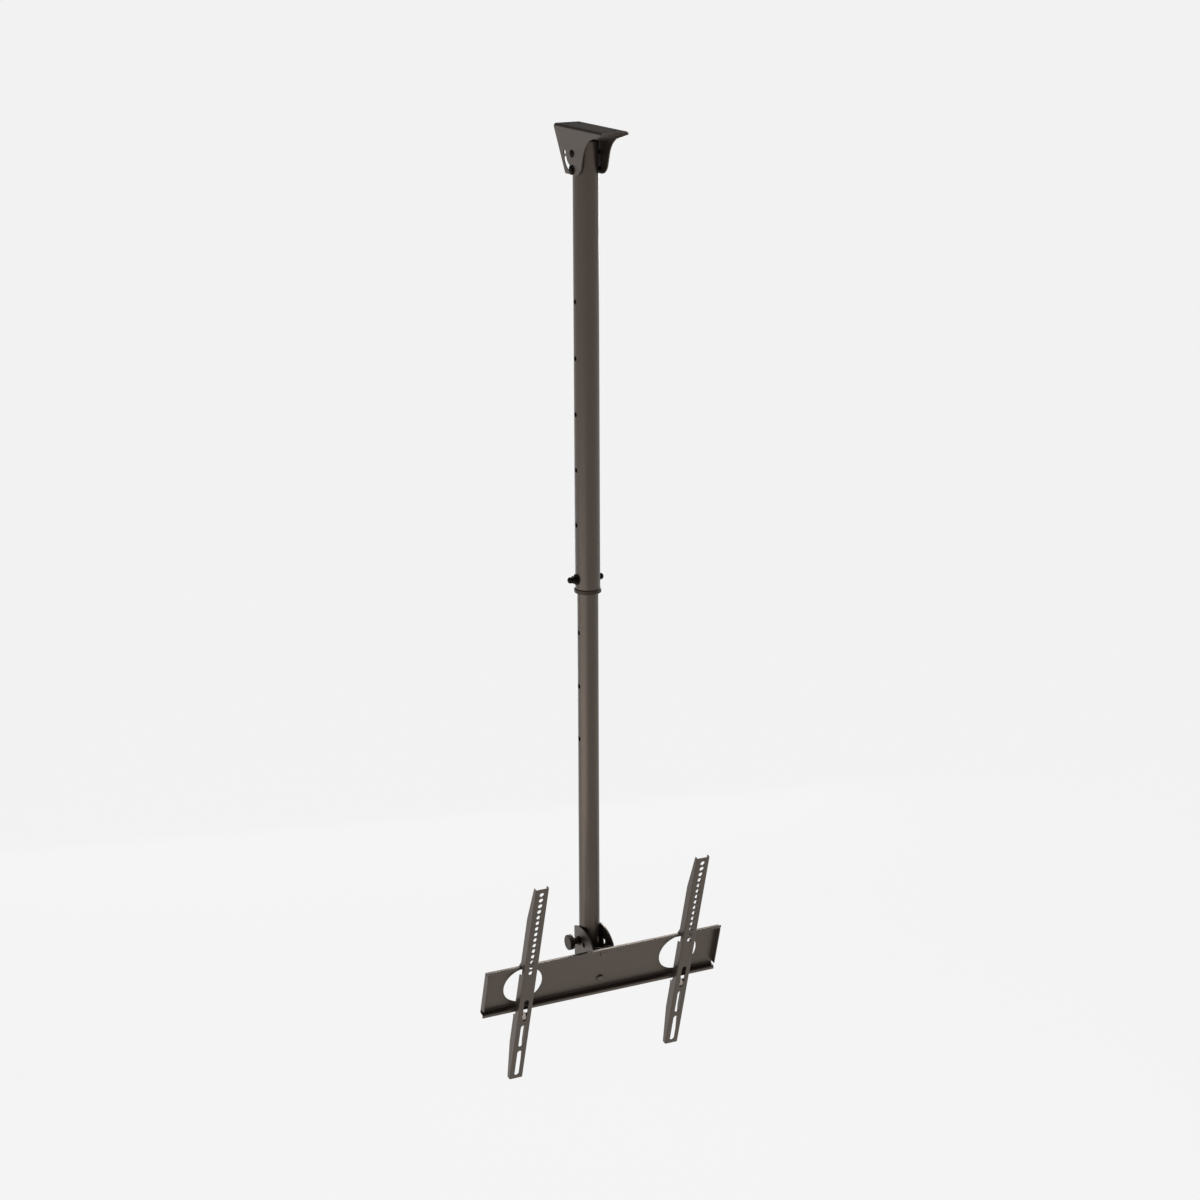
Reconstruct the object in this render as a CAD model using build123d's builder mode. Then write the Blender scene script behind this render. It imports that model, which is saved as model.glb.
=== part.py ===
"""Ceiling mount for a television: a folded ceiling bracket, a telescopic pole that swings in it,
and a tilting plate with two hook-on arms that slide sideways.

Frame, in millimetres: the origin is on the pole's axis in the ceiling face, +Z is up,
-Y is the side that the screen faces and +X is to the right as the screen's viewer sees it."""

import os
from math import cos, radians, sin

from build123d import *

# Ceiling bracket: one folded sheet, a top plate with two hanging ears
bracket_sheet = 2.0
bracket_gap = 49.0
bracket_front = 107.0
bracket_back = 68.0
bracket_lip = 6.0
ear_depth = 82.0
ear_foot_front = 29.0
ear_foot_back = 25.5
ear_waist_front = 47.0
ear_waist_drop = 22.0
ear_foot_radius = 24.0
ear_heel_radius = 4.0
ear_waist_radius = 45.0
bracket_bend = 5.0
ceiling_hole = 9.0
ceiling_hole_across = 24.0
ceiling_hole_along = 130.0

# Swing joint in the ceiling bracket
pivot_drop = 46.0
lock_radius = 27.5
lock_slot = 10.5
swing_angle = 65.0
swing_play = 1.0
wall_hole = 8.0
wall_angle = 90.0

# Telescopic pole
outer_diameter = 45.0
outer_wall = 2.0
pole_above_pivot = 21.0
outer_length = 800.0
inner_diameter = 38.0
inner_wall = 2.0
first_hole_drop = 302.0
hole_pitch = 100.0
outer_holes = 6
holes_below_bolt = 3
holes_above_bolt = 3
height_hole = 9.0
inner_top_above_bolt = 382.0
slide_clearance = 0.3

# Plastic fittings of the pole
collar_diameter = 48.8
collar_height = 7.5
collar_floor = 2.5
collar_sleeve = 15.0
collar_edge = 1.2
bush_height = 25.0
bush_lip = 2.0
plug_head = 3.0
plug_edge = 1.0
plug_spigot = 12.0

# M8 fasteners and the knob
bolt_diameter = 8.0
bolt_play = 0.3
bolt_flats = 13.0
bolt_head = 5.3
nut_height = 6.5
nut_bevel = 0.8
washer_diameter = 17.0
washer_thickness = 1.6
wide_washer = 20.0
thread_past_nut = 3.0
swing_head = 13.5
swing_head_height = 3.5
swing_head_dome = 2.5
height_head = 12.0
height_head_height = 8.5
height_head_dome = 5.0
cap_diameter = 11.5
cap_height = 9.0
cap_dome = 4.5
cap_bore_depth = 11.0
cap_bore_play = 1.0
knob_diameter = 28.5
knob_thickness = 9.0
knob_hub_diameter = 12.0
knob_hub_height = 13.0
knob_flutes = 16
knob_flute_width = 4.0
knob_flute_depth = 0.8
knob_edge = 1.5
knob_bore_depth = 17.0
knob_bore_play = 1.0

# Tilt joint: pivot on the pole's axis, and the tilt that the plate is set to
tilt_pivot_drop = 1495.0
rest_tilt = 16.0
inner_below_pivot = 25.0

# Tilt bracket: a folded U bolted to the back of the plate
tilt_sheet = 3.0
tilt_back_reach = 24.0
tilt_back_rise = 17.0
tilt_crown_reach = 17.0
tilt_crown_rise = 31.0
tilt_base_rise = 16.0
tilt_base_drop = 70.0
tilt_heel_reach = 6.0
tilt_heel_drop = 40.0
tilt_heel_radius = 12.0
tilt_hole = 10.5
tilt_hole_reach = 19.5
tilt_hole_rise = 3.5
tilt_bend = 3.5

# Plate: a top-hat section, open to the front, with turned-up ends
plate_sheet = 2.0
plate_length = 482.0
plate_height = 102.0
plate_lip = 5.0
plate_depth = 12.5
plate_reach = 54.5
plate_centre_drop = 27.5
plate_bend = 3.0
corner_gap = 0.6
corner_relief = 7.0
oval_offset = 161.0
oval_width = 78.0
oval_height = 75.0
plate_bolt_spacing = 56.0
plate_bolt_rise = 5.5
plate_bolt_head = 14.0
plate_bolt_head_height = 3.6
plate_bolt_dome = 3.0

# Arms: channels that hook over the plate's two lips
arm_sheet = 2.0
arm_width = 27.0
arm_left_x = -162.0
arm_right_x = 166.0
arm_reach = 26.3
arm_rise = 13.2
arm_top = 218.0
arm_bottom = 213.0
arm_depth = 17.5
arm_heel_depth = 19.0
arm_top_depth = 7.7
arm_top_taper = 73.0
arm_foot_depth = 9.5
arm_foot_taper = 76.0
arm_bend = 2.5
hook_rise = 9.0
hook_tooth = 7.0
hook_overlap = 3.5
hook_clearance = 0.4
hook_seat = 0.3
hook_notch_depth = 9.6
hook_notch_height = 18.5
rest_notch_rise = 14.0
rest_notch_height = 24.5
notch_radius = 4.0
corner_radius = 1.5
screw_hole = 8.6
screw_pitch = 12.5
screw_holes = 15
top_hole_rise = 206.0
slot_width = 9.0
slots = ((-31.0, -79.0), (-89.5, -139.0), (-148.5, -206.0))

# Lock under each arm: a ledge in the channel and a screw that stands behind the plate's lower lip
ledge_thickness = 2.5
ledge_gap = 13.0
ledge_margin = 2.3
lock_screw_diameter = 5.0
lock_screw_head = 8.5
lock_screw_head_height = 4.0
lock_tip_gap = 2.0

# Sizes that follow from the ones above
bracket_width = bracket_gap + 2 * bracket_sheet
outer_radius = outer_diameter / 2
outer_bore = outer_radius - outer_wall
inner_radius = inner_diameter / 2
inner_bore = inner_radius - inner_wall
outer_top = -pivot_drop + pole_above_pivot
outer_bottom = outer_top - outer_length
bolt_z = -first_hole_drop - (outer_holes - 1) * hole_pitch
inner_top = bolt_z + inner_top_above_bolt
inner_bottom = -tilt_pivot_drop - inner_below_pivot
bolt_radius = bolt_diameter / 2
bolt_hole = bolt_radius + bolt_play
tilt_gap = inner_diameter + 2 * slide_clearance
tilt_width = tilt_gap + 2 * tilt_sheet
bracket_side = bracket_width / 2
tilt_side = tilt_width / 2

# Planes of the tilted head: side sketches are (back, up), front sketches are (right, up)
head_up = (0, -sin(radians(rest_tilt)), cos(radians(rest_tilt)))
head = Plane(origin=(0, 0, -tilt_pivot_drop), x_dir=(1, 0, 0), z_dir=head_up)
head_side = Plane(head.origin, x_dir=head.y_dir, z_dir=head.x_dir)
head_front = Plane(head.origin, x_dir=head.x_dir, z_dir=-head.y_dir)
plate_origin = head.origin - head.z_dir * plate_centre_drop - head.y_dir * plate_reach
plate_side = Plane(plate_origin, x_dir=-head.y_dir, z_dir=-head.x_dir)
plate_front = Plane(plate_origin, x_dir=head.x_dir, z_dir=-head.y_dir)
plate_flat = Plane(plate_origin, x_dir=head.x_dir, z_dir=head.z_dir)
bolt_front = Plane(plate_origin + head.z_dir * plate_bolt_rise, x_dir=head.x_dir, z_dir=-head.y_dir)


def save(piece, name):
    """Label a finished piece and write it as its own file."""
    piece.part.label = name
    export_step(piece.part, f"parts/{name}.step")


def corners(sketch, *points):
    """The sketch's vertices that lie nearest to the given points."""
    return [sketch.vertices().sort_by_distance(point)[0] for point in points]


def tube(radius, bore, top, bottom, hole_heights, hole_radius):
    """Round tube along Z with cross holes along X."""
    with BuildPart() as piece:
        with BuildSketch(Plane.XY.offset(bottom)):
            Circle(radius)
            Circle(bore, mode=Mode.SUBTRACT)
        extrude(amount=top - bottom)
        for height, size in zip(hole_heights, hole_radius):
            with BuildSketch(Plane.YZ):
                with Locations((0, height)):
                    Circle(size)
            extrude(amount=radius, both=True, mode=Mode.SUBTRACT)
    return piece


def round_bolt(height, seat, tip, diameter, rise, dome):
    """Domed bolt along X: its head bears at x = seat and its shank ends at x = tip."""
    outward = 1 if seat > tip else -1
    with BuildPart() as piece:
        with BuildSketch(Plane.YZ.offset(seat)):
            with Locations((0, height)):
                Circle(diameter / 2)
        extrude(amount=outward * rise)
        fillet(piece.faces().sort_by(Axis.X)[-1 if outward > 0 else 0].edges(), dome)
        with BuildSketch(Plane.YZ.offset(seat)):
            with Locations((0, height)):
                Circle(bolt_radius)
        extrude(amount=tip - seat)
        chamfer(piece.faces().sort_by(Axis.X)[0 if outward > 0 else -1].edges(), nut_bevel)
    return piece


def cross_nut(height, seat):
    """Hex nut on a bolt's right end, bearing at x = seat."""
    with BuildPart() as piece:
        with BuildSketch(Plane.YZ.offset(seat)):
            with Locations((0, height)):
                RegularPolygon(bolt_flats / 2, 6, major_radius=False)
        extrude(amount=nut_height)
        chamfer(piece.faces().sort_by(Axis.X)[-1].edges(), nut_bevel)
        with BuildSketch(Plane.YZ.offset(seat)):
            with Locations((0, height)):
                Circle(bolt_radius)
        extrude(amount=nut_height, mode=Mode.SUBTRACT)
    return piece


def washers(height, diameter, *faces):
    """Flat washers on a cross bolt, each lying on the face at its x."""
    with BuildPart() as piece:
        for face in faces:
            with BuildSketch(Plane.YZ.offset(face)):
                with Locations((0, height)):
                    Circle(diameter / 2)
                    Circle(bolt_radius, mode=Mode.SUBTRACT)
            extrude(amount=washer_thickness if face > 0 else -washer_thickness)
    return piece


os.makedirs("parts", exist_ok=True)

# Ceiling bracket: the ear outline runs right across, then the space between the ears is cleared
swing_path = CenterArc((0, -pivot_drop), lock_radius, -90 - swing_play, swing_angle + 2 * swing_play)
with BuildPart() as ceiling_bracket:
    with BuildSketch(Plane.YZ.offset(-bracket_side)) as ear:
        with BuildLine():
            Polyline(
                (bracket_back, 0),
                (-bracket_front, 0),
                (-bracket_front, -bracket_lip),
                (-ear_waist_front, -ear_waist_drop),
                (-ear_foot_front, -ear_depth),
                (ear_foot_back, -ear_depth),
                (bracket_back, -bracket_lip),
                close=True,
            )
        make_face()
        fillet(corners(ear, (-ear_foot_front, -ear_depth)), ear_foot_radius)
        fillet(corners(ear, (ear_foot_back, -ear_depth)), ear_heel_radius)
        fillet(corners(ear, (-ear_waist_front, -ear_waist_drop)), ear_waist_radius)
    extrude(amount=bracket_width)
    fillet(ceiling_bracket.edges().filter_by(Axis.Y).group_by(Axis.Z)[-1], bracket_bend)
    with BuildSketch(Plane.XZ.offset(-bracket_back)) as between_ears:
        with BuildLine():
            Polyline(
                (-bracket_gap / 2, -ear_depth),
                (bracket_gap / 2, -ear_depth),
                (bracket_gap / 2, -bracket_sheet),
                (-bracket_gap / 2, -bracket_sheet),
                close=True,
            )
        make_face()
        fillet(between_ears.vertices().group_by(Axis.Y)[-1], bracket_bend - bracket_sheet)
    extrude(amount=bracket_front + bracket_back, mode=Mode.SUBTRACT)
    with BuildSketch(Plane.YZ):
        with Locations((0, -pivot_drop)):
            Circle(bolt_hole)
            with PolarLocations(lock_radius, 1, start_angle=wall_angle - 90):
                Circle(wall_hole / 2)
        SlotArc(swing_path, lock_slot)
    extrude(amount=bracket_side, both=True, mode=Mode.SUBTRACT)
    with Locations((0, (bracket_back - bracket_front) / 2, 0)):
        with GridLocations(ceiling_hole_across, ceiling_hole_along, 2, 2):
            Hole(ceiling_hole / 2, depth=bracket_sheet)
save(ceiling_bracket, "ceiling_bracket")

# Outer tube: the pivot and lock bolts cross its top, the height holes run down its sides
pivot_heights = [-pivot_drop, -pivot_drop - lock_radius]
outer_heights = [-first_hole_drop - i * hole_pitch for i in range(outer_holes)]
outer_tube = tube(
    outer_radius,
    outer_bore,
    outer_top,
    outer_bottom,
    pivot_heights + outer_heights,
    [bolt_radius] * 2 + [height_hole / 2] * outer_holes,
)
save(outer_tube, "outer_tube")

# Collar: a moulded ring that closes the tube's lower end and guides the inner tube
with BuildPart() as tube_collar:
    with BuildSketch(Plane.XZ) as collar_section:
        collar_bottom = outer_bottom - collar_floor
        collar_top = collar_bottom + collar_height
        with BuildLine():
            Polyline(
                (inner_radius + slide_clearance, collar_bottom),
                (collar_diameter / 2, collar_bottom),
                (collar_diameter / 2, collar_top),
                (outer_radius, collar_top),
                (outer_radius, outer_bottom),
                (outer_bore, outer_bottom),
                (outer_bore, outer_bottom + collar_sleeve),
                (inner_radius + slide_clearance, outer_bottom + collar_sleeve),
                close=True,
            )
        make_face()
        fillet(collar_section.vertices().group_by(Axis.X)[-1], collar_edge)
    revolve(axis=Axis.Z)
save(tube_collar, "tube_collar")

# Swing joint: a domed bolt at the pivot, and one on washers in the slot that locks the angle
bracket_face = bracket_side + washer_thickness
swing_tip = bracket_face + nut_height + thread_past_nut
swing_heads = (swing_head, swing_head_height, swing_head_dome)
pivot_bolt = round_bolt(pivot_heights[0], -bracket_side, swing_tip, *swing_heads)
save(pivot_bolt, "pivot_bolt")
pivot_nut = cross_nut(pivot_heights[0], bracket_face)
save(pivot_nut, "pivot_nut")
pivot_washer = washers(pivot_heights[0], washer_diameter, bracket_side)
save(pivot_washer, "pivot_washer")
lock_bolt = round_bolt(pivot_heights[1], -bracket_face, swing_tip, *swing_heads)
save(lock_bolt, "lock_bolt")
lock_nut = cross_nut(pivot_heights[1], bracket_face)
save(lock_nut, "lock_nut")
lock_washers = washers(pivot_heights[1], washer_diameter, -bracket_side, bracket_side)
save(lock_washers, "lock_washers")

# Height bolt: its round head is on the right, its cap nut and washer are on the left
height_face = outer_radius + washer_thickness
height_tip = -height_face - cap_bore_depth + cap_bore_play
height_bolt = round_bolt(
    bolt_z, outer_radius, height_tip, height_head, height_head_height, height_head_dome)
save(height_bolt, "height_bolt")
height_washer = washers(bolt_z, wide_washer, -outer_radius)
save(height_washer, "height_washer")

with BuildPart() as height_nut:
    with BuildSketch(Plane.YZ.offset(-height_face)):
        with Locations((0, bolt_z)):
            RegularPolygon(bolt_flats / 2, 6, major_radius=False)
    extrude(amount=-nut_height)
    chamfer(height_nut.faces().sort_by(Axis.X)[0].edges(), nut_bevel)
    with BuildSketch(Plane.YZ.offset(-height_face - nut_height)):
        with Locations((0, bolt_z)):
            Circle(cap_diameter / 2)
    extrude(amount=-cap_height)
    fillet(height_nut.faces().sort_by(Axis.X)[0].edges(), cap_dome)
    with BuildSketch(Plane.YZ.offset(-height_face)):
        with Locations((0, bolt_z)):
            Circle(bolt_radius)
    extrude(amount=-cap_bore_depth, mode=Mode.SUBTRACT)
save(height_nut, "height_nut")

# Inner tube: the same hole pitch, and a hole for the tilt bolt near its lower end
inner_heights = [bolt_z + i * hole_pitch for i in range(-holes_below_bolt, holes_above_bolt + 1)]
inner_tube = tube(
    inner_radius,
    inner_bore,
    inner_top,
    inner_bottom,
    inner_heights + [-tilt_pivot_drop],
    [height_hole / 2] * len(inner_heights) + [bolt_hole],
)
save(inner_tube, "inner_tube")

# Guide bush: a moulded sleeve on the inner tube's top end that runs in the outer tube
with BuildPart() as guide_bush:
    with BuildSketch(Plane.XZ):
        with BuildLine():
            Polyline(
                (inner_bore, inner_top),
                (inner_bore, inner_top + bush_lip),
                (outer_bore - slide_clearance, inner_top + bush_lip),
                (outer_bore - slide_clearance, inner_top - bush_height),
                (inner_radius, inner_top - bush_height),
                (inner_radius, inner_top),
                close=True,
            )
        make_face()
    revolve(axis=Axis.Z)
save(guide_bush, "guide_bush")

# Plug: a moulded cap in the inner tube's lower end
with BuildPart() as tube_plug:
    with BuildSketch(Plane.XY.offset(inner_bottom - plug_head)):
        Circle(inner_radius)
    extrude(amount=plug_head)
    fillet(tube_plug.edges().group_by(Axis.Z)[0], plug_edge)
    with BuildSketch(Plane.XY.offset(inner_bottom)):
        Circle(inner_bore)
        Circle(inner_bore - inner_wall, mode=Mode.SUBTRACT)
    extrude(amount=plug_spigot)
save(tube_plug, "tube_plug")

# Tilt bracket: crowned ears folded back from a base that lies on the plate
with BuildPart() as tilt_bracket:
    with BuildSketch(head_side.offset(-tilt_side)) as tilt_ear:
        with BuildLine():
            back_corner = (tilt_back_reach, tilt_back_rise)
            base_top = (-plate_reach, tilt_base_rise)
            ThreePointArc(back_corner, (-tilt_crown_reach, tilt_crown_rise), base_top)
            Polyline(
                base_top,
                (-plate_reach, -tilt_base_drop),
                (tilt_heel_reach, -tilt_heel_drop),
                back_corner,
            )
        make_face()
        fillet(corners(tilt_ear, (tilt_heel_reach, -tilt_heel_drop)), tilt_heel_radius)
    extrude(amount=tilt_width)
    base_edges = tilt_bracket.edges().filter_by(Axis(head.origin, head.z_dir))
    fillet(base_edges, tilt_bend)
    with BuildSketch(head_front.offset(-tilt_back_reach)):
        Rectangle(tilt_gap, 2 * (tilt_base_drop + tilt_crown_rise))
    extrude(amount=tilt_back_reach + plate_reach - tilt_sheet, mode=Mode.SUBTRACT)
    with BuildSketch(head_side):
        Circle(bolt_radius)
        with Locations((-tilt_hole_reach, tilt_hole_rise)):
            Circle(tilt_hole / 2)
    extrude(amount=tilt_side, both=True, mode=Mode.SUBTRACT)
    with BuildSketch(bolt_front.offset(-tilt_sheet)):
        with GridLocations(1, plate_bolt_spacing, 1, 2):
            Circle(bolt_hole)
    extrude(amount=tilt_sheet, mode=Mode.SUBTRACT)
save(tilt_bracket, "tilt_bracket")

# Tilt bolt, its washers and the knob that clamps the left ear
tilt_face = tilt_side + washer_thickness
knob_seat = -tilt_face
with BuildPart() as tilt_bolt:
    with BuildSketch(Plane.YZ.offset(tilt_face)):
        with Locations((0, -tilt_pivot_drop)):
            RegularPolygon(bolt_flats / 2, 6, major_radius=False)
    extrude(amount=bolt_head)
    chamfer(tilt_bolt.faces().sort_by(Axis.X)[-1].edges(), nut_bevel)
    with BuildSketch(Plane.YZ.offset(tilt_face)):
        with Locations((0, -tilt_pivot_drop)):
            Circle(bolt_radius)
    extrude(amount=knob_seat - knob_bore_depth + knob_bore_play - tilt_face)
    chamfer(tilt_bolt.faces().sort_by(Axis.X)[0].edges(), nut_bevel)
save(tilt_bolt, "tilt_bolt")

tilt_washers = washers(-tilt_pivot_drop, washer_diameter, -tilt_side, tilt_side)
save(tilt_washers, "tilt_washers")

with BuildPart() as tilt_knob:
    knob_inner = Plane((knob_seat, 0, -tilt_pivot_drop), x_dir=(0, -1, 0), z_dir=(-1, 0, 0))
    with BuildSketch(knob_inner):
        Circle(knob_hub_diameter / 2)
    extrude(amount=knob_hub_height)
    with BuildSketch(knob_inner.offset(knob_hub_height)):
        Circle(knob_diameter / 2)
        with PolarLocations(knob_diameter / 2 + knob_flute_width / 2 - knob_flute_depth, knob_flutes):
            Circle(knob_flute_width / 2, mode=Mode.SUBTRACT)
    extrude(amount=knob_thickness)
    fillet(tilt_knob.faces().sort_by(Axis.X)[0].edges(), knob_edge)
    with BuildSketch(knob_inner):
        Circle(bolt_hole)
    extrude(amount=knob_bore_depth, mode=Mode.SUBTRACT)
save(tilt_knob, "tilt_knob")

# Plate: the section is drawn for its upper half, mirrored, and run along X
half_height = plate_height / 2
flange = half_height - plate_lip
with BuildPart() as tv_plate:
    with BuildSketch(plate_side.offset(-plate_length / 2)) as hat_section:
        with BuildLine():
            Polyline(
                (0, 0),
                (plate_sheet, 0),
                (plate_sheet, flange - plate_sheet),
                (plate_depth, flange - plate_sheet),
                (plate_depth, half_height),
                (plate_depth - plate_sheet, half_height),
                (plate_depth - plate_sheet, flange),
                (0, flange),
                close=True,
            )
        make_face()
        outer_bends = corners(hat_section, (0, flange), (plate_depth, flange - plate_sheet))
        fillet(outer_bends, plate_bend)
        inner_bends = corners(
            hat_section, (plate_sheet, flange - plate_sheet), (plate_depth - plate_sheet, flange))
        fillet(inner_bends, plate_bend - plate_sheet)
        mirror(about=Plane.XZ)
    extrude(amount=plate_length)
    end_top = flange - plate_sheet - corner_gap
    end_bottom = plate_sheet + corner_relief - flange
    for side in (-1, 1):
        with BuildSketch(plate_side.offset(-side * (plate_length / 2 - plate_sheet))):
            with Locations((plate_depth / 2, (end_top + end_bottom) / 2)):
                Rectangle(plate_depth, end_top - end_bottom)
        extrude(amount=-side * plate_sheet)
    with BuildSketch(plate_front):
        with GridLocations(2 * oval_offset, 1, 2, 1):
            Ellipse(oval_width / 2, oval_height / 2)
    extrude(amount=plate_sheet, mode=Mode.SUBTRACT)
    with BuildSketch(bolt_front):
        with GridLocations(1, plate_bolt_spacing, 1, 2):
            Circle(bolt_hole)
    extrude(amount=plate_sheet, mode=Mode.SUBTRACT)
save(tv_plate, "tv_plate")

# Bolts through the plate and the tilt bracket's base: domed heads in front, nuts behind
with BuildPart() as plate_bolts:
    with BuildSketch(bolt_front.offset(plate_sheet)):
        with GridLocations(1, plate_bolt_spacing, 1, 2):
            Circle(plate_bolt_head / 2)
    extrude(amount=plate_bolt_head_height)
    dome_faces = plate_bolts.faces().sort_by(Axis(head.origin, head.y_dir))[:2]
    fillet(dome_faces.edges(), plate_bolt_dome)
    with BuildSketch(bolt_front.offset(plate_sheet)):
        with GridLocations(1, plate_bolt_spacing, 1, 2):
            Circle(bolt_radius)
    extrude(amount=-(plate_sheet + tilt_sheet + nut_height + thread_past_nut))
save(plate_bolts, "plate_bolts")

with BuildPart() as plate_nuts:
    with BuildSketch(bolt_front.offset(-tilt_sheet)):
        with GridLocations(1, plate_bolt_spacing, 1, 2):
            RegularPolygon(bolt_flats / 2, 6, major_radius=False)
    extrude(amount=-nut_height)
    nut_faces = plate_nuts.faces().sort_by(Axis(head.origin, head.y_dir))[-2:]
    chamfer(nut_faces.edges(), nut_bevel)
    with BuildSketch(bolt_front.offset(-tilt_sheet)):
        with GridLocations(1, plate_bolt_spacing, 1, 2):
            Circle(bolt_radius)
    extrude(amount=-nut_height, mode=Mode.SUBTRACT)
save(plate_nuts, "plate_nuts")

# Arms: the side outline, with its hook, runs across; the channel behind the web is then cleared
lip_front = arm_reach - plate_depth
lip_back = lip_front + plate_sheet
seat = half_height + hook_seat
tooth_front = lip_back + hook_clearance
tooth_low = half_height - hook_overlap
hook_notch_low = seat - hook_notch_height
rest_depth = lip_front - hook_seat
rest_notch_top = rest_notch_rise - half_height
heel_top = rest_notch_top - rest_notch_height
arm_top_end = arm_rise + arm_top
arm_foot_end = arm_rise - arm_bottom
ledge_top = -half_height - ledge_gap
lock_screw_depth = tooth_front + lock_screw_diameter / 2
ledge_end = lock_screw_depth + lock_screw_diameter / 2 + ledge_margin


def arm(centre):
    """One arm with its middle at x = centre; depths are measured back from its front face."""
    with BuildPart() as piece:
        with BuildSketch(plate_side.offset(-centre - arm_width / 2)) as outline:
            hook_notch = [(hook_notch_depth, seat), (hook_notch_depth, hook_notch_low)]
            rest_notch = [(rest_depth, rest_notch_top), (rest_depth, heel_top)]
            shoulders = [(arm_depth, hook_notch_low), (arm_depth, rest_notch_top), (arm_heel_depth, heel_top)]
            profile = [
                (0, arm_top_end),
                (arm_top_depth, arm_top_end),
                (arm_depth, arm_top_end - arm_top_taper),
                (arm_depth, seat + hook_rise),
                (tooth_front + hook_tooth, tooth_low),
                (tooth_front, tooth_low),
                (tooth_front, seat),
                *hook_notch,
                shoulders[0],
                shoulders[1],
                *rest_notch,
                shoulders[2],
                (arm_heel_depth, arm_foot_end + arm_foot_taper),
                (arm_foot_depth, arm_foot_end),
                (0, arm_foot_end),
            ]
            with BuildLine():
                Polyline([(arm_reach - depth, rise) for depth, rise in profile], close=True)
            make_face()
            inside = [(arm_reach - depth, rise) for depth, rise in hook_notch + rest_notch]
            fillet(corners(outline, *inside), notch_radius)
            outside = [(arm_reach - depth, rise) for depth, rise in shoulders]
            fillet(corners(outline, *outside), corner_radius)
        extrude(amount=arm_width)
        front_edges = piece.edges().filter_by(Axis(head.origin, head.z_dir))
        fillet(front_edges.group_by(Axis(head.origin, head.y_dir))[0], arm_bend)
        with BuildSketch(plate_front.offset(arm_reach - arm_sheet)):
            with Locations((centre, 0)):
                Rectangle(arm_width - 2 * arm_sheet, 2 * (arm_top + arm_bottom))
        extrude(amount=-arm_reach, mode=Mode.SUBTRACT)
        with BuildSketch(plate_front.offset(arm_reach)):
            for i in range(screw_holes):
                with Locations((centre, arm_rise + top_hole_rise - i * screw_pitch)):
                    Circle(screw_hole / 2)
            for top, bottom in slots:
                with Locations((centre, arm_rise + (top + bottom) / 2)):
                    SlotOverall(top - bottom, slot_width, rotation=90)
        extrude(amount=-arm_sheet, mode=Mode.SUBTRACT)
    return piece


def lock_ledge(centre):
    """Ledge welded across an arm's channel, below the plate's lower lip."""
    with BuildPart() as piece:
        with BuildSketch(plate_flat.offset(ledge_top - ledge_thickness)):
            with Locations((centre, (arm_sheet + ledge_end) / 2 - arm_reach)):
                Rectangle(arm_width - 2 * arm_sheet, ledge_end - arm_sheet)
            with Locations((centre, lock_screw_depth - arm_reach)):
                Circle(lock_screw_diameter / 2, mode=Mode.SUBTRACT)
        extrude(amount=ledge_thickness)
    return piece


def lock_screw(centre):
    """Screw through a ledge, with its tip behind the plate's lower lip."""
    with BuildPart() as piece:
        with BuildSketch(plate_flat.offset(ledge_top - ledge_thickness)):
            with Locations((centre, lock_screw_depth - arm_reach)):
                Circle(lock_screw_head / 2)
        extrude(amount=-lock_screw_head_height)
        with BuildSketch(plate_flat.offset(ledge_top - ledge_thickness)):
            with Locations((centre, lock_screw_depth - arm_reach)):
                Circle(lock_screw_diameter / 2)
        extrude(amount=ledge_thickness - ledge_top - flange - lock_tip_gap)
    return piece


for side, centre in (("left", arm_left_x), ("right", arm_right_x)):
    tv_arm = arm(centre)
    save(tv_arm, f"arm_{side}")
    tv_ledge = lock_ledge(centre)
    save(tv_ledge, f"lock_ledge_{side}")
    tv_lock_screw = lock_screw(centre)
    save(tv_lock_screw, f"lock_screw_{side}")
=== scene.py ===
from math import asin, ceil, cos, radians, sin, tan

import bmesh
import bpy
from mathutils import Matrix, Vector


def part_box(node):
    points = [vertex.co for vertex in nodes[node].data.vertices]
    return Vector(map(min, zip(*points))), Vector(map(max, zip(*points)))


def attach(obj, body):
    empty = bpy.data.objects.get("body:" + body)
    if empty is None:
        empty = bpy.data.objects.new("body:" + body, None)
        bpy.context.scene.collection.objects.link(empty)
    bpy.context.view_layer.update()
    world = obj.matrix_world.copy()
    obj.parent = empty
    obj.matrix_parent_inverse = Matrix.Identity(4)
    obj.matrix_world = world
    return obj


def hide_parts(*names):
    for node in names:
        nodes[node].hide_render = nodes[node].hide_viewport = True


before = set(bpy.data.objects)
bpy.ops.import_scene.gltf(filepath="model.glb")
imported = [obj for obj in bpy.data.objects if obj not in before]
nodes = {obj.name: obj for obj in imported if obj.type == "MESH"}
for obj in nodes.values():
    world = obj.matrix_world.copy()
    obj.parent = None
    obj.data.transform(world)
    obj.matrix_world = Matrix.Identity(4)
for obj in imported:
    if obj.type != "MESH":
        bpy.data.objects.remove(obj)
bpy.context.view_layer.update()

# Ceiling bracket: one steel sheet, laser cut and folded into a channel, with an arc slot in each ear.
# Its satin, nearly black powder coat is fine-grained, carries a slight orange peel and rounds the
# cut edges a little.
millimetre = 0.001
edge_round = 0.25 * millimetre
weld_gap = 0.001 * millimetre
flat_within = radians(0.5)
crease = radians(35)
patches_per_metre = 9.0
patch_share = 0.35
relief_per_grain = 1 / 8
warm_shine = (1.0, 0.82, 0.69, 1)


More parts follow.
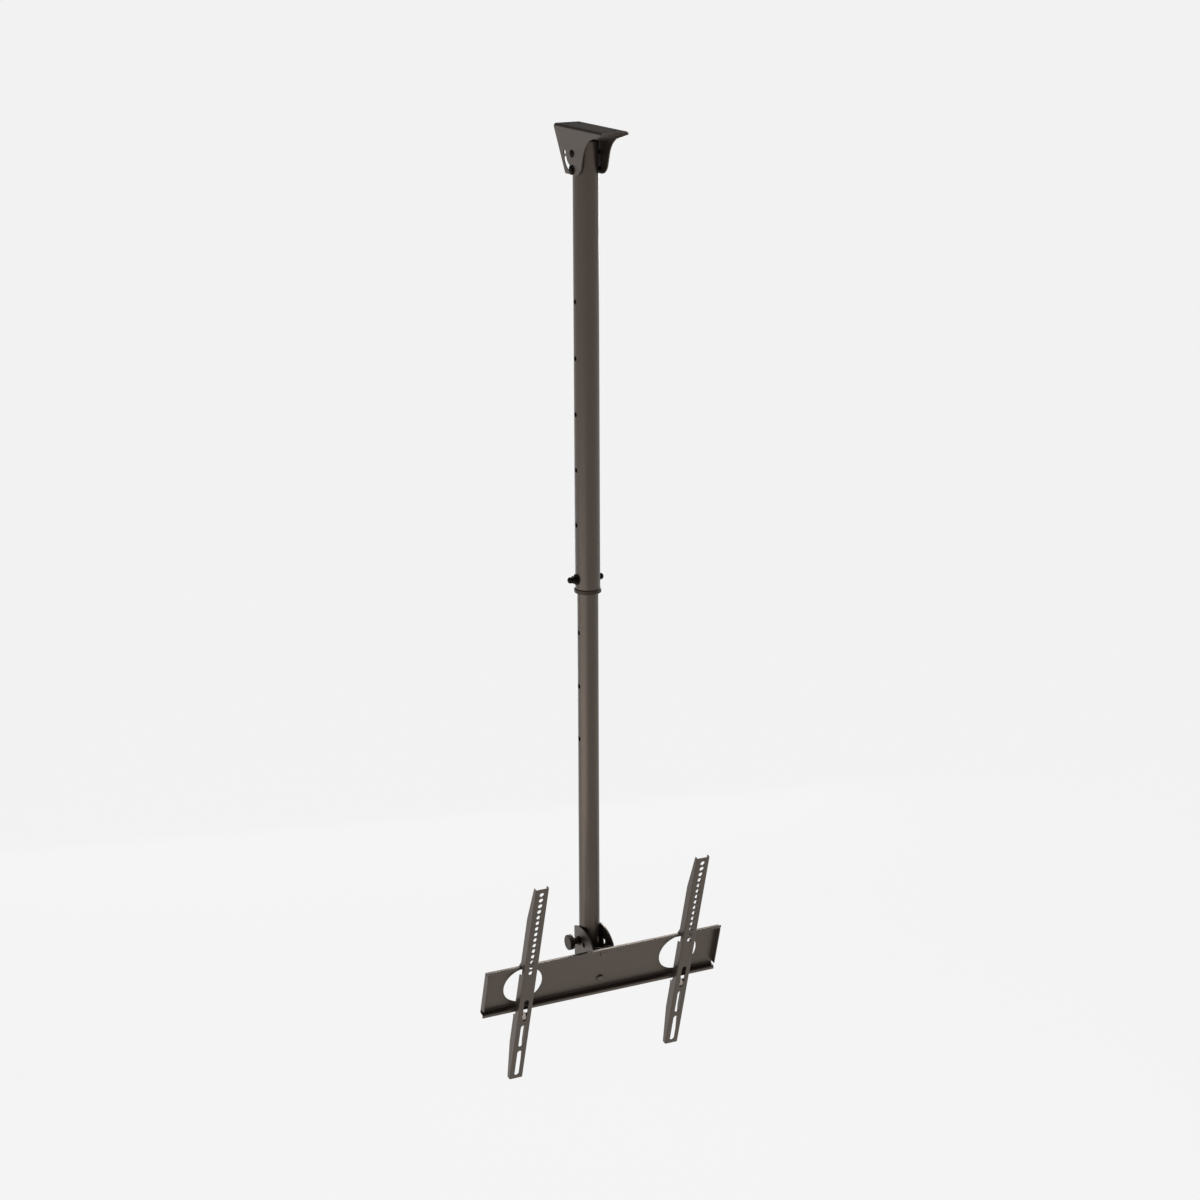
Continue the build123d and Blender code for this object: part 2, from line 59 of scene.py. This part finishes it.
class Wire:
    """An output of a shader tree. Arithmetic on it adds Math nodes."""

    def __init__(self, tree, socket=None):
        self.tree = tree
        self.socket = socket

    def fill(self, node, sockets):
        """Fills a node's sockets with values or links."""
        for name, value in sockets.items():
            if isinstance(value, Wire):
                self.tree.links.new(value.socket, node.inputs[name])
            else:
                node.inputs[name].default_value = value

    def node(self, kind, sockets, output=0, **settings):
        """Adds a node, sets it up, fills its sockets and gives one of its outputs."""
        made = self.tree.nodes.new(kind)
        stops = settings.pop("stops", None)
        for name, setting in settings.items():
            setattr(made, name, setting)
        if stops:
            elements = made.color_ramp.elements
            while len(elements) < len(stops):
                elements.new(1.0)
            for element, (place, colour) in zip(elements, stops):
                element.position = place
                element.color = colour
        self.fill(made, sockets)
        return Wire(self.tree, made.outputs[output])

    def math(self, operation, first, second):
        return self.node("ShaderNodeMath", {0: first, 1: second}, operation=operation)

    def __add__(self, other):
        return self.math("ADD", self, other)

    def __radd__(self, other):
        return self.math("ADD", other, self)

    def __mul__(self, other):
        return self.math("MULTIPLY", self, other)

    def __rmul__(self, other):
        return self.math("MULTIPLY", other, self)


def finish(name, dark, light, roughness, spread, sheen, grain, bump):
    """A coating whose tint and gloss drift a little, with a fine grain of the given size in metres."""
    material = bpy.data.materials.new(name)
    material.use_nodes = True
    tree = Wire(material.node_tree)
    place = tree.node("ShaderNodeTexCoord", {}, output="Object")
    drift = tree.node("ShaderNodeTexNoise", {"Vector": place, "Scale": patches_per_metre, "Detail": 3.0})
    speck = tree.node("ShaderNodeTexNoise", {"Vector": place, "Scale": 1 / grain, "Detail": 2.0})
    shade = patch_share * drift + (1 - patch_share) * speck
    # A Mix node's sockets for colours share their names with those for numbers, so they go by number.
    tint = tree.node("ShaderNodeMix", {0: shade, 6: dark, 7: light}, output=2, data_type="RGBA")
    gloss = roughness - spread / 2 + spread * drift
    relief = tree.node(
        "ShaderNodeBump", {"Strength": bump, "Distance": grain * relief_per_grain, "Height": speck}
    )
    tree.fill(
        material.node_tree.nodes["Principled BSDF"],
        {
            "Base Color": tint,
            "Roughness": gloss,
            "Normal": relief,
            "Specular IOR Level": sheen,
            "Specular Tint": warm_shine,
        },
    )
    return material


satin_paint = finish(
    "satin_paint",
    dark=(0.054, 0.044, 0.037, 1),
    light=(0.066, 0.054, 0.046, 1),
    roughness=0.38,
    spread=0.06,
    sheen=1.0,
    grain=1.2 * millimetre,
    bump=0.4,
)


def stand_in(shape, node, body, material):
    """Makes a piece of a shape that stands for a CAD node, smooth except at its creases."""
    data = bpy.data.meshes.new(node + "_shape")
    shape.to_mesh(data)
    shape.free()
    if "custom_normal" in data.attributes:
        data.attributes.remove(data.attributes["custom_normal"])
    data.shade_smooth()
    data.set_sharp_from_angle(angle=crease)
    data.materials.append(material)
    piece = bpy.data.objects.new(node + "_shape", data)
    bpy.context.scene.collection.objects.link(piece)
    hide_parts(node)
    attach(piece, body)
    return piece


def eased(node, body):
    """A CAD sheet piece with its cut edges rounded, as the coat rounds them."""
    shape = bmesh.new()
    shape.from_mesh(nodes[node].data)
    bmesh.ops.remove_doubles(shape, verts=shape.verts, dist=weld_gap)
    bmesh.ops.dissolve_limit(shape, angle_limit=flat_within, verts=shape.verts, edges=shape.edges)
    piece = stand_in(shape, node, body, satin_paint)
    edges = piece.modifiers.new("eased_edges", "BEVEL")
    edges.width = edge_round
    edges.segments = 2
    edges.limit_method = "ANGLE"
    edges.angle_limit = crease
    edges.harden_normals = True
    edges.use_clamp_overlap = False
    flats = piece.modifiers.new("even_flats", "WEIGHTED_NORMAL")
    flats.keep_sharp = True


eased("ceiling_bracket", "ceiling")

# Pole: two drawn steel tubes, one sliding in the other, cross-drilled every 100 mm.
# They have the bracket's coat. The outer one hangs on the pivot and lock bolts.


def coat(material, *names):
    """Gives CAD pieces their finish."""
    for name in names:
        slots = nodes[name].data.materials
        slots.clear()
        slots.append(material)


coat(satin_paint, "outer_tube", "inner_tube")

# Collar, guide bush and plug: dark nylon mouldings pressed on the tubes' ends.
# The mould left a fine, even grain, so they shine less than the painted steel.
nylon = finish(
    "moulded_nylon",
    dark=(0.050, 0.041, 0.035, 1),
    light=(0.062, 0.051, 0.044, 1),
    roughness=0.45,
    spread=0.06,
    sheen=0.4,
    grain=0.6 * millimetre,
    bump=0.35,
)
coat(nylon, "tube_collar", "guide_bush", "tube_plug")

# Bolts, nuts and washers: steel M8 fasteners, rolled and pressed, blackened by zinc plating.
# They clamp the bracket's ears, the pole's height, the tilt and the plate. Those of the swing are
# shaped here about Z, in millimetres, with threads and chamfers.
black_zinc = finish(
    "black_zinc",
    dark=(0.011, 0.008, 0.007, 1),
    light=(0.019, 0.015, 0.013, 1),
    roughness=0.55,
    spread=0.12,
    sheen=0.15,
    grain=0.5 * millimetre,
    bump=0.15,
)
coat(
    black_zinc,
    "pivot_washer", "lock_washers",
    "height_bolt", "height_nut", "height_washer",
    "tilt_bolt", "tilt_washers",
    "plate_nuts",
)
thread_radius = 4.0
thread_pitch = 1.25
thread_length = 16.0
thread_depth = 0.6 * thread_pitch
root_flat = 0.3 * thread_pitch
crest_flat = 0.14 * thread_pitch
thread_runout = 0.8
tip_chamfer = 0.9
steps_round = 32
spare_turns = 2
cut_snap = 0.0001
end_reach = 0.01
head_radius = 6.75
head_height = 3.5
head_ease = 0.3
dome_height = 2.5
dome_rings = (0.85, 0.7, 0.55, 0.4, 0.25, 0.1)  # shares of the dome's half angle
nut_flats = 13.0
flat_cuts = 7
half_corner = radians(30)
nut_chamfer = radians(30)
face_inset = 0.05
bore_chamfer = 0.5


def next_loop(shape, edges, height, radius=None):
    """Extrudes a loop of edges about Z to a new height and, where one is given, to a new radius."""
    made = bmesh.ops.extrude_edge_only(shape, edges=edges)["geom"]
    ring = {item for item in made if isinstance(item, bmesh.types.BMVert)}
    for vert in ring:
        vert.co.z = height
        if radius:
            vert.co.xy *= radius / vert.co.xy.length
    return [item for item in made if isinstance(item, bmesh.types.BMEdge) and ring.issuperset(item.verts)]


def lay_along_x(shape, node, body, turn=0.0):
    """Lays a finished fastener along X, from the low end of its node's box, and makes it a piece."""
    bmesh.ops.recalc_face_normals(shape, faces=shape.faces)
    low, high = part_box(node)
    middle = (low + high) / 2
    place = Matrix.Translation((low.x, middle.y, middle.z))
    along_x = Matrix.Rotation(radians(90), 4, "Y")
    turned = Matrix.Rotation(turn, 4, "Z")
    shape.transform(place @ along_x @ turned @ Matrix.Scale(millimetre, 4))
    stand_in(shape, node, body, black_zinc)


def swing_bolt(node, body):
    """A domed bolt with a rolled thread at its end: the thread first, then the shank and the head."""
    low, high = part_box(node)
    tip = (high.x - low.x) / millimetre
    thread_start = tip - thread_length
    root = thread_radius - thread_depth
    vee = [
        (root, 0),
        (root, root_flat / 2),
        (thread_radius, (thread_pitch - crest_flat) / 2),
        (thread_radius, (thread_pitch + crest_flat) / 2),
        (root, thread_pitch - root_flat / 2),
        (root, thread_pitch),
    ]
    shape = bmesh.new()
    first_turn = thread_start - thread_pitch
    points = [shape.verts.new((radius, 0, first_turn + height)) for radius, height in vee]
    lines = [shape.edges.new(pair) for pair in zip(points, points[1:])]
    turns = ceil(thread_length / thread_pitch) + spare_turns
    bmesh.ops.spin(
        shape,
        geom=points + lines,
        cent=(0, 0, 0),
        axis=(0, 0, 1),
        dvec=(0, 0, thread_pitch / steps_round),
        angle=radians(360 * turns),
        steps=steps_round * turns,
    )
    bmesh.ops.remove_doubles(shape, verts=shape.verts, dist=weld_gap / millimetre)
    for height, beyond in ((thread_start, {"clear_inner": True}), (tip, {"clear_outer": True})):
        bmesh.ops.bisect_plane(
            shape,
            geom=shape.verts[:] + shape.edges[:] + shape.faces[:],
            dist=cut_snap,
            plane_co=(0, 0, height),
            plane_no=(0, 0, 1),
            **beyond,
        )
    bmesh.ops.remove_doubles(shape, verts=shape.verts, dist=weld_gap / millimetre)
    for vert in shape.verts:
        cone = thread_radius + tip - tip_chamfer - vert.co.z
        if vert.co.xy.length > cone:
            vert.co.xy *= cone / vert.co.xy.length
    ends = [edge for edge in shape.edges if edge.is_boundary]
    far_end = [edge for edge in ends if edge.verts[0].co.z > tip - end_reach]
    near_end = [edge for edge in ends if edge.verts[0].co.z < thread_start + end_reach]
    bmesh.ops.edgeloop_fill(shape, edges=far_end)
    outline = [
        (thread_radius, thread_start - thread_runout),
        (thread_radius, head_height + head_ease),
        (thread_radius + head_ease, head_height),
        (head_radius - head_ease, head_height),
        (head_radius, head_height - head_ease),
        (head_radius, dome_height),
    ]
    sphere = (head_radius**2 + dome_height**2) / (2 * dome_height)
    half_dome = asin(head_radius / sphere)
    for part in dome_rings:
        angle = half_dome * part
        outline.append((sphere * sin(angle), sphere * (1 - cos(angle))))
    for radius, height in outline:
        near_end = next_loop(shape, near_end, height, radius)
    bmesh.ops.edgeloop_fill(shape, edges=near_end)
    lay_along_x(shape, node, body)


def swing_nut(node, body):
    """A hexagon nut whose corners are chamfered on both faces: the outer wall first, then the bore."""
    low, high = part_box(node)
    top = (high.x - low.x) / millimetre
    inside = nut_flats / 2
    shape = bmesh.new()
    bmesh.ops.create_circle(shape, segments=6, radius=inside / cos(half_corner))
    bmesh.ops.subdivide_edges(shape, edges=shape.edges, cuts=flat_cuts)
    base = shape.edges[:]
    loop = next_loop(shape, base, top)
    for vert in shape.verts:
        cut = (vert.co.xy.length - inside) * tan(nut_chamfer)
        vert.co.z += -cut if vert.co.z > top / 2 else cut
    outline = [
        (inside - face_inset, top),
        (thread_radius + bore_chamfer, top),
        (thread_radius, top - bore_chamfer),
        (thread_radius, bore_chamfer),
        (thread_radius + bore_chamfer, 0),
        (inside - face_inset, 0),
    ]
    for radius, height in outline:
        loop = next_loop(shape, loop, height, radius)
    bmesh.ops.bridge_loops(shape, edges=loop + base)
    corner_up = high.z - low.z > high.y - low.y
    lay_along_x(shape, node, body, turn=0.0 if corner_up else half_corner)


for role in ("pivot", "lock"):
    swing_bolt(role + "_bolt", "pole")
    swing_nut(role + "_nut", "pole")

# Tilt bracket and knob: a folded steel U with crowned ears that straddles the inner tube.
# The moulded knob on the tilt bolt clamps the ears by hand.
eased("tilt_bracket", "head")
coat(nylon, "tilt_knob")

# Plate: a rolled top-hat section of thin steel with turned-up ends and two large ovals.
# It is bolted to the tilt bracket, and has the same coat.
eased("tv_plate", "head")

# Plate bolts: steel bolts through the plate and the tilt bracket, with their heads in front.
# They are nearly of the plate's colour, in a smoother paint that shines more.
smooth_paint = finish(
    "smooth_paint",
    dark=(0.050, 0.041, 0.034, 1),
    light=(0.058, 0.048, 0.040, 1),
    roughness=0.22,
    spread=0.04,
    sheen=1.0,
    grain=1.2 * millimetre,
    bump=0.1,
)
coat(smooth_paint, "plate_bolts")

# Arms: pressed channels with rows of screw holes and slots, hooked over the plate's lips.
# Under each, a small ledge holds the screw that keeps it from lifting off.
for side in ("left", "right"):
    eased(f"arm_{side}", f"{side}_arm")
    eased(f"lock_ledge_{side}", f"{side}_arm")
    coat(black_zinc, f"lock_screw_{side}")

# Floor: a wide sheet of pale studio paper, laid flat below the mount.
# It looks evenly pale to the camera and in reflections, and a small share of it takes the shadow.
floor_reach = 80.0
floor_height = -2.35
paper_tone = (0.96, 0.96, 0.96, 1)
glow_share = 0.92
floor_mesh = bpy.data.meshes.new("floor")
sheet = bmesh.new()
bmesh.ops.create_grid(sheet, x_segments=1, y_segments=1, size=floor_reach)
bmesh.ops.translate(sheet, verts=sheet.verts, vec=(0, 0, floor_height))
sheet.to_mesh(floor_mesh)
sheet.free()
floor = bpy.data.objects.new("floor", floor_mesh)
bpy.context.scene.collection.objects.link(floor)
paper = bpy.data.materials.new("studio_paper")
paper.use_nodes = True
paper_nodes = paper.node_tree.nodes
paper_tree = Wire(paper.node_tree)
paper_shader = paper_nodes["Principled BSDF"]
paper_tree.fill(paper_shader, {"Base Color": (0.8, 0.8, 0.8, 1), "Roughness": 0.9})
camera_ray, glossy_ray, clear_ray = (
    paper_tree.node("ShaderNodeLightPath", {}, output=ray)
    for ray in ("Is Camera Ray", "Is Glossy Ray", "Is Transmission Ray")
)
glow = paper_tree.node("ShaderNodeEmission", {"Color": paper_tone, "Strength": 1.0})
lit = Wire(paper.node_tree, paper_shader.outputs["BSDF"])
share = (camera_ray + glossy_ray + clear_ray) * glow_share
mixed = paper_tree.node("ShaderNodeMixShader", {0: share, 1: lit, 2: glow})
paper_tree.fill(paper_nodes["Material Output"], {"Surface": mixed})
floor_mesh.materials.append(paper)

# Studio walls: a plain surround, pale round the horizon and dim above it.
# Heights are those of a direction one unit long.
pale_wall = (0.85, 0.85, 0.85, 1)
dim_wall = (0.09, 0.09, 0.09, 1)
pale_up_to = 0.045
dim_from = 0.08
world = bpy.data.worlds.new("studio")
bpy.context.scene.world = world
world.use_nodes = True
wall_tree = Wire(world.node_tree)
direction = wall_tree.node("ShaderNodeTexCoord", {}, output="Generated")
rise = wall_tree.node("ShaderNodeSeparateXYZ", {"Vector": direction}, output="Z")
walls = wall_tree.node(
    "ShaderNodeValToRGB",
    {"Fac": rise},
    stops=[(0.0, pale_wall), (pale_up_to, pale_wall), (dim_from, dim_wall), (1.0, dim_wall)],
)
wall_tree.fill(world.node_tree.nodes["Background"], {"Color": walls})

# Lamps: four soft boxes round the mount, which the camera doesn't see.
# Two low, wide ones light the plate from the left and from behind, one hangs above the bracket,
# and a small one lights the pole's far side.


def softbox(name, place, aim, width, height, watts):
    """A soft lamp that points at a spot on the mount."""
    lamp = bpy.data.lights.new(name, "AREA")
    lamp.shape = "RECTANGLE"
    lamp.size = width
    lamp.size_y = height
    lamp.energy = watts
    holder = bpy.data.objects.new(name, lamp)
    bpy.context.scene.collection.objects.link(holder)
    holder.location = place
    holder.rotation_euler = (Vector(aim) - Vector(place)).to_track_quat("-Z", "Y").to_euler()
    holder.visible_camera = False


softbox("side_light", (-2.2, -0.5, -1.9), aim=(0, 0, -1.4), width=3.0, height=0.7, watts=14)
softbox("top_light", (0.4, 0.7, 2.0), aim=(0, 0, -1.0), width=1.6, height=1.6, watts=10)
softbox("back_light", (0.8, 3.0, -1.9), aim=(0, 0, -1.4), width=3.0, height=0.7, watts=9)
softbox("rim_light", (0.79, 1.04, -0.32), aim=(0, 0, -1.5), width=0.5, height=0.5, watts=11)

# Camera: at the photograph's viewpoint, in front of the mount and to its left, half a metre above
# the ceiling bracket. Its long lens looks down at the mount.
viewpoint = (-2.2392, -4.3277, 0.5437)
azimuth = radians(27.615)
dip = radians(15.887)
roll = radians(-0.22)
forward = Vector((sin(azimuth) * cos(dip), cos(azimuth) * cos(dip), -sin(dip)))
level = Vector((cos(azimuth), -sin(azimuth), 0))
upright = level.cross(forward)
right = cos(roll) * level + sin(roll) * upright
up = -sin(roll) * level + cos(roll) * upright
optics = bpy.data.cameras.new("camera")
optics.lens = 84.84
optics.sensor_width = 36.0
optics.clip_end = 200.0
camera = bpy.data.objects.new("camera", optics)
bpy.context.scene.collection.objects.link(camera)
facing = Matrix((right, up, -forward)).transposed()
camera.matrix_world = Matrix.Translation(viewpoint) @ facing.to_4x4()
bpy.context.scene.camera = camera
bpy.context.scene.view_settings.view_transform = "Standard"
